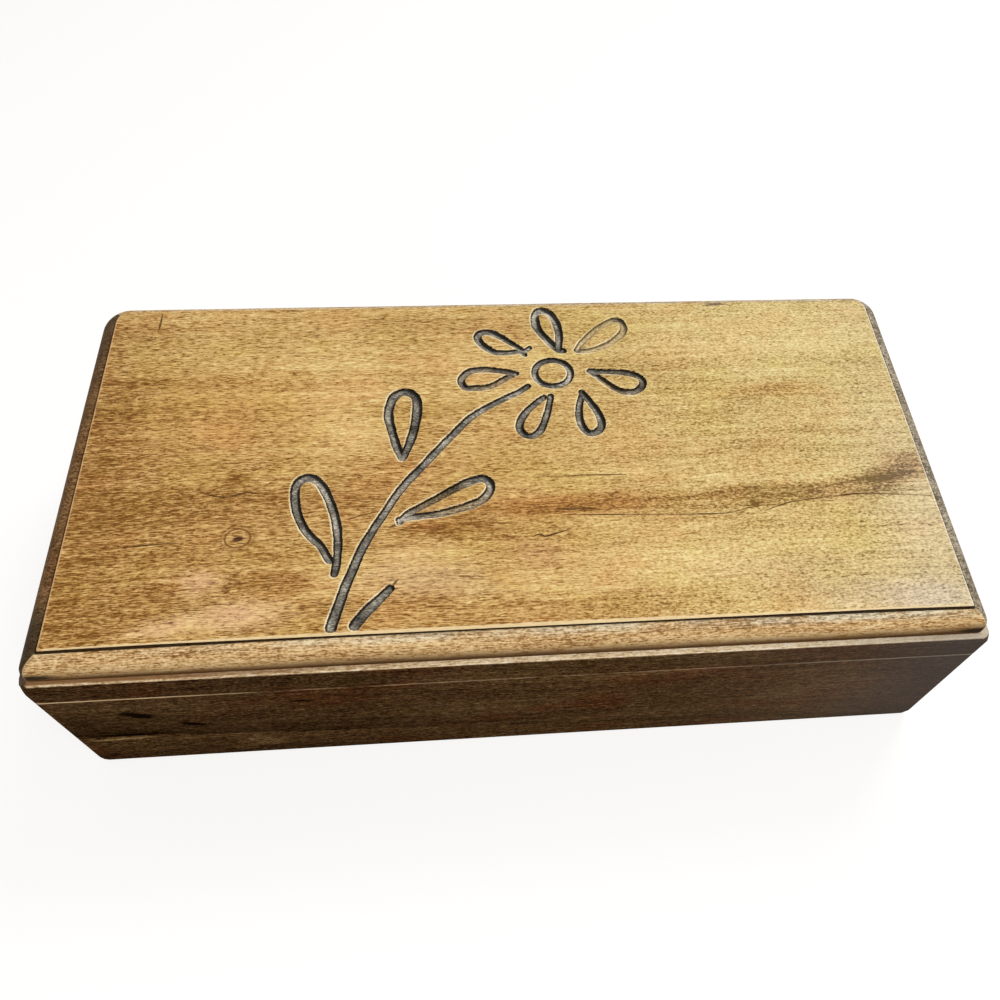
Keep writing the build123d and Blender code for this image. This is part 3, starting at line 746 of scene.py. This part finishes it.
def bead_wood():
    """The moulded edge: pale at its top from rubbing and a painted highlight, golden below, dark at its foot
    from stain and painted shade, dull on the end grain.
    """
    look = wood_look("bead_wood", 5.4)
    x, y, _ = look.axes
    across = look.attribute("across")
    tone = look.weigh(0.46, bands=0.6, streak=0.7, mottle=0.3, fibre=1.5, speck=1.2)
    tone -= look.pores.ramp(0.56, 0.7, 0.0, 0.2)
    colour = look.tint(tone, (0.0, 122, 82, 42), (0.3, 186, 144, 92), (0.55, 230, 194, 140),
                       (1.0, 250, 228, 182))
    pale = look.tint(tone, (0.2, 150, 132, 104), (0.5, 212, 198, 168), (0.9, 240, 230, 204))
    # The pale band at the bead's top: partly rubbed wear, partly a painted highlight, more of it to the
    # right.
    patchy = look.mottle.ramp(0.3, 0.62, 0.2, 0.8) + x.ramp(0.05, 0.13, 0.0, 0.3)
    top = (look.mottle * 2.0 + across).ramp(6.8, 4.2) * patchy * x.ramp(-0.13, -0.02, 0.3, 1.0)
    colour = look.mix(top, colour, pale)
    # Dark towards the foot: partly a dark stain, partly painted shade in the crease above the ledge.
    low = across + x.ramp(-0.12, -0.03, -1.5, -0.8) + x.ramp(0.125, 0.15, -0.4, 0.9)
    low = look.weigh(low, mottle=1.6, fibre=3.0, speck=2.0)
    colour = look.mix(low.ramp(6.1, 11.2, 0.0, 0.94), colour, (74, 42, 12))
    mitre = (BOARD_HALF_X - BOARD_HALF_Y) * MM
    field_x = (BOARD_HALF_X - BEAD_WIDTH) * MM
    corner = abs(x) - abs(y)
    ends = abs(x).ramp(field_x - 0.0008, field_x) * corner.ramp(mitre - 0.0003, mitre + 0.0002)
    end_grain = look.tint(tone, (0.2, 62, 38, 18), (0.5, 110, 74, 40), (0.9, 156, 116, 76))
    belly = across.ramp(3.4, 4.6) * across.ramp(9.6, 7.6) * y.ramp(-0.066, -0.05, 0.9, 0.15)
    end_grain = look.mix(belly, end_grain, (28, 18, 11))
    end_grain = look.mix(y.ramp(-0.046, -0.062, 0.0, 0.95), end_grain, (24, 13, 6))
    end_grain = look.mix(y.ramp(0.01, 0.07, 0.0, 0.8), end_grain, (30, 19, 12))
    colour = look.mix(ends * x.ramp(0.01, -0.01, 0.0, 0.92), colour, end_grain)
    # The right end of the bead is greyer: a painted sheen.
    right_end_sheen = look.tint(tone, (0.2, 92, 83, 70), (0.5, 152, 142, 124), (0.9, 206, 196, 176))
    colour = look.mix(ends * x.ramp(-0.01, 0.01, 0.0, 0.92), colour, right_end_sheen)
    # Painted shade at the bead's front corners.
    for middle in BEAD_CORNER_SHADE:
        colour = look.mix(look.spot(look.place, middle, CORNER_SHADE_RADII, 0.7) * 0.9, colour, (20, 12, 5))
    # A painted highlight along the mitre's ridge, towards the front.
    mitre_highlight = abs(corner - mitre).ramp(0.0005, 0.0001) * y.ramp(0.0, -0.02, 0.0, 0.5)
    colour = look.mix(mitre_highlight, colour, (226, 200, 156))
    # Painted shade in the quirk below the field's arris.
    quirk_shade = across.ramp(0.4, 0.6) * across.ramp(2.5, 1.9)
    colour = look.mix(quirk_shade * 0.95, colour, (38, 22, 8))
    rough = look.mottle * 0.25 + 0.45
    return look.surface(colour, rough, look.fibre * 0.9, 0.0002, 0.03)


# Marks on the front wall: middle and radii along and up the face, turn, how much lighter or darker, softness
FRONT_FACE = -76
WALL_MARK_DEPTH = 30
WALL_MARKS = (
    ((-127.8, 44.6), (6.0, 2.6), -29, -0.85, 0.6), ((-128, 44.8), (12, 4.0), -24, -0.25, 1.0),
    ((-112.4, 34.4), (5.0, 2.0), -24, -0.75, 0.7), ((-112, 34.2), (10, 3.4), -22, -0.22, 1.0),
    ((-72, 50), (7, 2.0), -3, -0.45, 0.9), ((-93, 13), (12, 8), -20, 0.24, 1.0),
    # The dark band at (-136, 25.4) along the split is painted shade; the pale band at (-139, 22.2) under it
    # is a painted highlight on its lower lip.
    ((-100, 8), (16, 3), 14, 0.22, 1.0), ((-136, 25.4), (20, 2.0), 1, -0.5, 0.9),
    ((-139, 22.2), (15, 1.0), 2, 0.6, 0.8), ((-20, 30), (50, 16), 0, 0.1, 1.0),
    ((40, 18), (60, 9), 2, 0.12, 1.0), ((118, 30), (60, 40), 0, 0.2, 1.0),
)


def wall_colour(look):
    """Dark stained wood with red and olive casts, greyer to the right from a painted sheen, and the front
    wall's marks.
    """
    x, y, _ = look.axes
    stir = look.vector(look.weigh(0.0, mottle=0.012), 0.0, look.weigh(0.0, bands=0.006))
    ragged = look.moved(look.place, stir)
    tone = x.ramp(-0.11, 0.01, 0.37, 0.5)
    tone = look.weigh(tone, drift=0.42, bands=0.4, mottle=0.2, streak=0.5, fibre=1.4, speck=1.2)
    for (mark_x, mark_z), (along, up), turn, shift, soft in WALL_MARKS:
        middle, radii = (mark_x, FRONT_FACE, mark_z), (along, WALL_MARK_DEPTH, up)
        tone += look.spot(ragged, middle, radii, soft, (0, turn, 0)) * shift
    tone -= look.pores.ramp(0.56, 0.7, 0.0, 0.25)
    colour = look.tint(tone, (0.0, 26, 15, 8), (0.25, 63, 42, 23), (0.5, 93, 67, 41), (0.75, 124, 96, 63),
                       (1.0, 160, 132, 98))
    cast = look.noise(look.stretch(look.place, (26, 26, 60), (2.7, 0.4, 1.9)))
    red, olive = look.dyed(colour, (255, 206, 190)), look.dyed(colour, (226, 240, 190))
    colour = look.mix(cast.ramp(0.5, 0.66, 0.0, 0.6), colour, red)
    colour = look.mix(cast.ramp(0.5, 0.36, 0.0, 0.2), colour, olive)
    # Greyer towards the right, most at the far right of the front face: a painted sheen.
    grey = look.mix(0.62, colour, (104, 90, 79))
    colour = look.mix(x.ramp(0.03, 0.15, 0.0, 0.75), colour, grey)
    grazing_sheen = x.ramp(0.1, 0.153, 0.0, 0.5) * y.ramp(-0.0735, -0.0745)
    return look.mix(grazing_sheen, colour, (92, 88, 90))


# Heights of the ledge under the bead, and of the seam between box and lid
LEDGE_Z = 0.0725
SEAM_Z = 0.059


def wall_wood(name, axis, seed, gloss):
    """A wall or rail: stained outside, paler inside, flecked on the lid's ledge, and pale along the seam from
    rubbing and a painted highlight.
    """
    look = wood_look(name, seed, axis)
    x, y, z = look.axes
    half_x, half_y, _ = cad_box[1]
    inner_x, inner_y = half_x - WALL * MM, half_y - WALL * MM
    colour = wall_colour(look)
    inside = abs(x).ramp(inner_x + 0.0007, inner_x + 0.0002) * abs(y).ramp(inner_y + 0.0007, inner_y + 0.0002)
    bare = look.value("ShaderNodeGamma", {0: colour, 1: 0.58})
    colour = look.mix(inside, colour, look.mix(0.35, bare, (176, 126, 82)))
    flecks = look.weigh(x.ramp(-0.1, 0.12, 0.34, 0.62), fibre=1.6, speck=1.2, mottle=0.6)
    ledge = look.tint(flecks, (0.1, 168, 134, 94), (0.4, 224, 196, 156), (0.65, 244, 226, 192),
                      (0.95, 252, 242, 222))
    to_edge = look.mottle * 0.0004 + (abs(x) - half_x).larger(abs(y) - half_y)
    shaded = to_edge.ramp(-0.0002, -0.0008) * x.ramp(-0.02, -0.13, 0.1, 0.92)
    ledge = look.mix(shaded, ledge, (138, 98, 60))
    ledge = look.mix(x.ramp(-0.1506, -0.1518), ledge, (86, 68, 54))
    # Greyer towards the right: a painted sheen, as on the walls.
    ledge = look.mix(x.ramp(0.07, 0.15, 0.0, 0.7), ledge, (176, 166, 150))
    colour = look.mix(z.ramp(LEDGE_Z - 0.0004, LEDGE_Z - 0.0001), colour, ledge)
    # A pale line along the seam: partly rubbed wear, partly a painted highlight, greyer at the right.
    rim = z.ramp(SEAM_Z - 0.0004, SEAM_Z - 0.0002) * z.ramp(SEAM_Z + 0.0004, SEAM_Z + 0.0001)
    outer_x, outer_y = [abs(v).ramp(h - 0.0007, h - 0.0003) for v, h in ((x, half_x), (y, half_y))]
    wear_and_highlight = look.mottle.ramp(0.35, 0.6) * 0.35 + x.ramp(-0.08, -0.14) + x.ramp(0.02, 0.1, 0.0, 0.4)
    seam = look.mix(x.ramp(0.0, 0.1), (206, 176, 138), (138, 128, 114))
    colour = look.mix(rim * outer_x.larger(outer_y) * wear_and_highlight, colour, seam)
    rough = look.mottle * 0.2 + 0.5
    return look.surface(colour, rough, look.fibre * 0.9, 0.0002, gloss)


def inner_wood(name, axis, seed, light, dark):
    """Unstained wood of the tray, runners and panel."""
    look = wood_look(name, seed, axis)
    colour = look.mix(look.drift.ramp(0.3, 0.7), dark, light)
    colour = look.mix(look.bands.ramp(0.42, 0.6, 0.0, 0.75), colour, dark)
    deep = look.dyed(dark, (188, 168, 148))
    colour = look.mix(look.streak.ramp(0.5, 0.68, 0.0, 0.6), colour, deep)
    colour = look.mix(look.fibre.ramp(0.62, 0.36, 0.0, 0.5), colour, deep)
    pores = look.pores.ramp(0.58, 0.7)
    colour = look.mix(pores * 0.6, colour, look.dyed(deep, (170, 150, 132)))
    rough = look.mottle * 0.2 + 0.45
    return look.surface(colour, rough, pores * -0.6 + look.fibre * 0.7, 0.0002, 0.35)


def felt_cloth():
    """Burgundy wool felt: matted fibres, soft worn patches and a fuzzy sheen."""
    look = Look(bpy.data.materials.new("felt"))
    hairs = look.noise(look.stretch(look.place, (2600, 900, 1500)), 4, 0.7, 1.2)
    mat = hairs.larger(look.noise(look.stretch(look.place, (900, 2600, 1500), (4, 7, 1)), 4, 0.7, 1.2))
    patches = look.noise(look.stretch(look.place, (26, 26, 26)), 4, 0.6)
    colour = look.tint(patches, (0.3, 84, 18, 26), (0.55, 112, 26, 36), (0.8, 134, 42, 50))
    colour = look.mix(mat.ramp(0.5, 0.74, 0.0, 0.7), colour, (168, 70, 76))
    colour = look.mix(mat.ramp(0.56, 0.4, 0.0, 0.7), colour, (52, 8, 14))
    sheen = {"Sheen Weight": 0.35, "Sheen Roughness": 0.5, "Sheen Tint": srgb(214, 150, 150)}
    return look.surface(colour, 0.95, mat, 0.0005, 0.1, sheen)


def aged_brass(name, bright, dull):
    """Brass gone brown in patches, with fine rubbing marks."""
    look = Look(bpy.data.materials.new(name))
    patches = look.noise(look.stretch(look.place, (240, 240, 240)), 5, 0.65)
    wear_and_highlight = look.noise(look.stretch(look.place, (120, 3200, 3200)), 3, 0.6)
    colour = look.mix(patches.ramp(0.38, 0.62), bright, dull)
    colour = look.mix(wear_and_highlight.ramp(0.55, 0.75, 0.0, 0.35), colour, (84, 62, 34))
    return look.surface(colour, patches * 0.4 + 0.14, wear_and_highlight, 0.00006, more={"Metallic": 1.0})


def on_mitre(edge):
    """Whether an edge lies on a mitre."""
    offset = cad_box[1][0] - cad_box[1][1]
    return all(abs(abs(v.co.x) - abs(v.co.y) - offset) < 0.02 * MM for v in edge.verts)


# Planes that take off the worn front corners: the side, and how far along, back and up or down they reach
WORN_FEET = (
    (-1, 3.2, 4.0, 2.6), (-1, 1.6, 3.0, 6.0),
    (1, 2.8, 4.0, 4.4), (1, 5.0, 5.0, 1.4),
)
WORN_LEDGE = (
    (-1, 1.4, 2.0, -9.0), (-1, 2.8, 2.8, -3.4), (-1, 1.7, 4.2, -2.0), (-1, 4.4, 1.6, -1.6),
    (1, 2.4, 2.4, -3.4), (1, 1.5, 3.8, -2.0), (1, 3.8, 1.4, -1.6),
)


def wear_corners(bm, planes, level):
    """Cuts the worn corners off a board, at its foot or at its top."""
    low, high = cad_box
    for side, along, back, up in planes:
        corner = Vector((side * high[0], low[1], level))
        points = [corner + Vector(p) * MM for p in ((-side * along, 0, 0), (0, back, 0), (0, 0, up))]
        normal = (points[1] - points[0]).cross(points[2] - points[0]).normalized()
        if normal.dot(corner - points[0]) < 0:
            normal = -normal
        cut = bmesh.ops.bisect_plane(
            bm, geom=bm.verts[:] + bm.edges[:] + bm.faces[:], plane_co=points[0], plane_no=normal,
            clear_outer=True, dist=0.001 * MM,
        )
        edges = [e for e in cut["geom_cut"] if isinstance(e, bmesh.types.BMEdge)]
        if edges:
            bmesh.ops.contextual_create(bm, geom=edges)


# Angles in degrees: what counts as flat, and as a sharp edge
FLAT = 0.5
SHARP = 40


def eased_board(node, body, material, ease):
    """A wooden piece as in CAD, with its sharp edges eased."""
    bm = bmesh.new()
    bm.from_mesh(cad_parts[node].data)
    bmesh.ops.remove_doubles(bm, verts=bm.verts, dist=0.002 * MM)
    bmesh.ops.dissolve_limit(bm, angle_limit=radians(FLAT), verts=bm.verts, edges=bm.edges)
    if node.endswith("_wall"):
        wear_corners(bm, WORN_FEET, 0.0)
    if node.endswith("_rail"):
        wear_corners(bm, WORN_LEDGE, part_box(node)[1].z)
    inner = [e for e in bm.edges if len(e.link_faces) == 2]
    sharp = [e for e in inner if e.calc_face_angle() > radians(SHARP) and not on_mitre(e)]
    bmesh.ops.bevel(
        bm, geom=sharp, offset=ease * MM, offset_type="OFFSET", segments=2, profile=0.5, affect="EDGES",
        clamp_overlap=True,
    )
    piece = make_piece(bm, node + "_eased", body, 30)
    piece.data.materials.append(material)
    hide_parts(node)
    return piece


# Split low on the left of the front wall, and pits: half-width, and the place along and up the face
WALL_SPLIT = (
    (2.0, -153.9, 24.7), (1.7, -147, 24.6), (1.3, -138, 24.3),
    (1.0, -130, 24.1), (0.6, -123, 24.6), (0.08, -118.5, 25),
)
WALL_PITS = ((0.75, -114.6, 22.3), (0.9, -109.3, 22.6), (0.4, -117.2, 23.6))
PIT_SIDES = 9
SPLIT_DEPTH = 2.0


def split_wall(wall, material):
    """Cuts the split and the pits beside it into the front wall, with a material of their own inside."""
    face_y = cad_box[0][1] / MM
    bm = bmesh.new()
    last = None
    for half, x, z in WALL_SPLIT:
        depth = SPLIT_DEPTH * half / WALL_SPLIT[0][0] + 0.1
        places = ((x, face_y - 0.3, z + half), (x, face_y + depth, z), (x, face_y - 0.3, z - half))
        ring = [bm.verts.new(Vector(p) * MM) for p in places]
        if last:
            for i in range(3):
                k = (i + 1) % 3
                bm.faces.new((last[i], last[k], ring[k], ring[i]))
        else:
            bm.faces.new(ring)
        last = ring
    bm.faces.new(last)
    for radius, x, z in WALL_PITS:
        tip = bm.verts.new(Vector((x, face_y + 0.7 * radius, z)) * MM)
        turns = [2 * pi * i / PIT_SIDES for i in range(PIT_SIDES)]
        places = [(x + 1.2 * radius * cos(a), face_y - 0.2, z + radius * sin(a)) for a in turns]
        mouth = [bm.verts.new(Vector(p) * MM) for p in places]
        for i in range(PIT_SIDES):
            bm.faces.new((mouth[i], mouth[(i + 1) % PIT_SIDES], tip))
        bm.faces.new(mouth)
    bmesh.ops.recalc_face_normals(bm, faces=bm.faces)
    mesh = bpy.data.meshes.new("split")
    bm.to_mesh(mesh)
    bm.free()
    mesh.materials.append(material)
    cutter = add_object("split", mesh)
    cut = wall.modifiers.new("split", "BOOLEAN")
    cut.object = cutter
    cut.operation = "DIFFERENCE"
    cut.solver = "EXACT"
    graph = bpy.context.evaluated_depsgraph_get()
    whole = wall.data
    wall.data = bpy.data.meshes.new_from_object(wall.evaluated_get(graph))
    wall.modifiers.clear()
    bpy.data.objects.remove(cutter)
    bpy.data.meshes.remove(mesh)
    bpy.data.meshes.remove(whole)
    shade(wall.data, 30)


# Felt: step of the mesh, rounding and fall of the edge as shares of the thickness, heights of the nap
FELT_STEP = 3.0
FELT_ROUND = 0.35
FELT_FALL = 0.45
NAP = (0.10, 0.06)


def felt_sheet(node, body, material, face):
    """A cut felt in the place of its CAD slab: rounded cut edges and a nap that isn't quite flat."""
    low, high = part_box(node)
    size_x, size_y = high.x - low.x, high.y - low.y
    thick = high.z - low.z
    columns = round(size_x / (FELT_STEP * MM))
    rows = round(size_y / (FELT_STEP * MM))
    bm = bmesh.new()

    def level(z, inset):
        verts = []
        for j in range(rows + 1):
            for i in range(columns + 1):
                x = low.x + inset + (size_x - 2 * inset) * i / columns
                y = low.y + inset + (size_y - 2 * inset) * j / rows
                verts.append((x, y, z))
        return verts

    def wave(x, y):
        return NAP[0] * MM * drift(x / 0.02, y / 0.02, 2) + NAP[1] * MM * drift(x / 0.006, y / 0.006, 6)

    flat_z, soft_z = (low.z, high.z) if face > 0 else (high.z, low.z)
    grid = []
    for x, y, z in level(soft_z - face * sum(NAP) * MM, FELT_ROUND * thick):
        grid.append(bm.verts.new((x, y, z + wave(x, y))))
    width = columns + 1
    for j in range(rows):
        for i in range(columns):
            a = j * width + i
            bm.faces.new((grid[a], grid[a + 1], grid[a + width + 1], grid[a + width]))
    edge = list(range(width))
    edge += [j * width + columns for j in range(1, rows + 1)]
    edge += [rows * width + i for i in range(columns - 1, -1, -1)]
    edge += [j * width for j in range(rows - 1, 0, -1)]
    last = [grid[i] for i in edge]
    for z in (soft_z - face * FELT_FALL * thick, flat_z):
        flat = level(z, 0.0)
        fresh = [bm.verts.new(flat[i]) for i in edge]
        for i in range(len(edge)):
            k = (i + 1) % len(edge)
            bm.faces.new((last[i], fresh[i], fresh[k], last[k]))
        last = fresh
    bm.faces.new(last)
    bmesh.ops.recalc_face_normals(bm, faces=bm.faces)
    piece = make_piece(bm, node + "_sheet", body, 60)
    piece.data.materials.append(material)
    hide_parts(node)


def dress_box():
    """Materials and eased pieces for every CAD node."""
    carved = make_carved_top()
    carved.data.materials.append(top_wood())
    carved.data.materials.append(bead_wood())
    long_wall = wall_wood("wall_wood_long", "x", 7.7, 0.0)
    short_wall = wall_wood("wall_wood_short", "y", 12.9, 0.1)
    for side in ("front", "right", "back", "left"):
        stain = long_wall if side in ("front", "back") else short_wall
        wall = eased_board(side + "_wall", "box", stain, 0.12)
        if side == "front":
            # The near-black inside of the split and pits is painted shade.
            split_wall(wall, inner_wood("split_shade", "x", 17.3, (20, 12, 7), (9, 5, 3)))
        eased_board("lid_" + side + "_rail", "lid", stain, 0.12)
    light, dark = (202, 154, 102), (158, 108, 64)
    along = inner_wood("inner_wood_long", "x", 21.5, light, dark)
    athwart = inner_wood("inner_wood_short", "y", 33.2, light, dark)
    panel = inner_wood("panel_wood", "x", 41.0, (206, 174, 128), (170, 132, 90))
    for node in ("tray_runner_front", "tray_runner_back"):
        eased_board(node, "box", along, 0.4)
    for node in ("tray_front_side", "tray_back_side", "tray_long_divider"):
        eased_board(node, "tray", along, 0.35)
    for node in ("tray_left_end", "tray_right_end", "tray_cross_divider"):
        eased_board(node, "tray", athwart, 0.35)
    eased_board("tray_floor", "tray", panel, 0.2)
    eased_board("bottom_panel", "box", panel, 0.2)
    felt = felt_cloth()
    felt_sheet("base_felt", "box", felt, 1)
    felt_sheet("tray_felt", "tray", felt, 1)
    felt_sheet("lid_felt", "lid", felt, -1)
    brass = aged_brass("hinge_brass", (206, 168, 92), (144, 110, 60))
    screw_brass = aged_brass("screw_brass", (150, 122, 78), (78, 60, 38))
    for node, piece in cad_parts.items():
        kind = None
        if "screws" in node:
            kind = screw_brass
        elif "hinge" in node:
            kind = brass
        elif "splines" in node:
            kind = along
        if kind:
            piece.data.materials.clear()
            piece.data.materials.append(kind)


WHITE = (1.0, 1.0, 1.0, 1.0)
# The floor as it lights the box and as it is seen, its glow, and the light of the sky
FLOOR_LIT = (0.32, 0.3, 0.28, 1.0)
FLOOR_SEEN = (0.5, 0.5, 0.5, 1.0)
FLOOR_GLOW = 0.57
FLOOR_REACH = 4.0
SKY_COLOUR = (1.0, 0.985, 0.96, 1.0)
SKY_LEVEL = 0.2
# Lamps: place, size, power and colour, and the place that they shine on
LAMPS = {
    "key": ((0.24, -0.9, 1.82), 1.0, 29.0, (1.0, 0.98, 0.94)),
    "back": ((0.72, 0.99, 1.37), 0.8, 8.8, (1.0, 0.98, 0.95)),
}
LAMP_AIM = (0, 0, 0.06)
# The camera that fits the photograph: its place and its axes
CAMERA_PLACE = (-0.01671, -0.18543, 0.33833)
CAMERA_RIGHT = (0.99544, -0.07785, 0.05508)
CAMERA_DOWN = (-0.03585, -0.84067, -0.54036)
CAMERA_FORWARD = (0.08838, 0.53592, -0.83963)


def set_stage():
    """White floor, soft light and the photograph's camera."""
    floor = Look(bpy.data.materials.new("floor"))
    seen = floor.plain_rays()
    colour = floor.value("ShaderNodeMix", {0: seen, 6: FLOOR_LIT, 7: FLOOR_SEEN}, 2, data_type="RGBA")
    matt = floor.value("ShaderNodeBsdfDiffuse", {0: colour})
    glow = floor.value("ShaderNodeEmission", {0: WHITE, 1: seen * FLOOR_GLOW})
    floor.node("ShaderNodeOutputMaterial", {0: floor.value("ShaderNodeAddShader", {0: matt, 1: glow})})
    mesh = bpy.data.meshes.new("floor")
    corners = [(FLOOR_REACH * x, FLOOR_REACH * y, 0) for x, y in ((-1, -1), (1, -1), (1, 1), (-1, 1))]
    mesh.from_pydata(corners, [], [(0, 1, 2, 3)])
    mesh.materials.append(floor.owner)
    ground = add_object("floor", mesh)

    world = bpy.data.worlds.new("studio")
    bpy.context.scene.world = world
    sky = Look(world)
    light = sky.value("ShaderNodeBackground", {0: SKY_COLOUR, 1: SKY_LEVEL})
    backdrop = sky.value("ShaderNodeBackground", {0: WHITE, 1: 1.0})
    both = sky.value("ShaderNodeMixShader", {0: sky.plain_rays(), 1: light, 2: backdrop})
    sky.node("ShaderNodeOutputWorld", {0: both})

    for name, (place, size, power, colour) in LAMPS.items():
        lamp = bpy.data.lights.new(name, "AREA")
        lamp.size = size
        lamp.energy = power
        lamp.color = colour
        holder = add_object(name, lamp)
        holder.location = place
        aim = Vector(LAMP_AIM) - Vector(place)
        holder.rotation_euler = aim.to_track_quat("-Z", "Y").to_euler()

    lens = bpy.data.cameras.new("photograph")
    lens.sensor_width = 36.0
    lens.lens = 32.4
    lens.shift_x = -0.048
    lens.clip_start = 0.01
    camera = add_object("photograph", lens)
    turn = Matrix((Vector(CAMERA_RIGHT), -Vector(CAMERA_DOWN), -Vector(CAMERA_FORWARD))).transposed().to_4x4()
    camera.matrix_world = Matrix.Translation(CAMERA_PLACE) @ turn
    bpy.context.scene.camera = camera
    bpy.context.scene.view_settings.view_transform = "Standard"


dress_box()
set_stage()
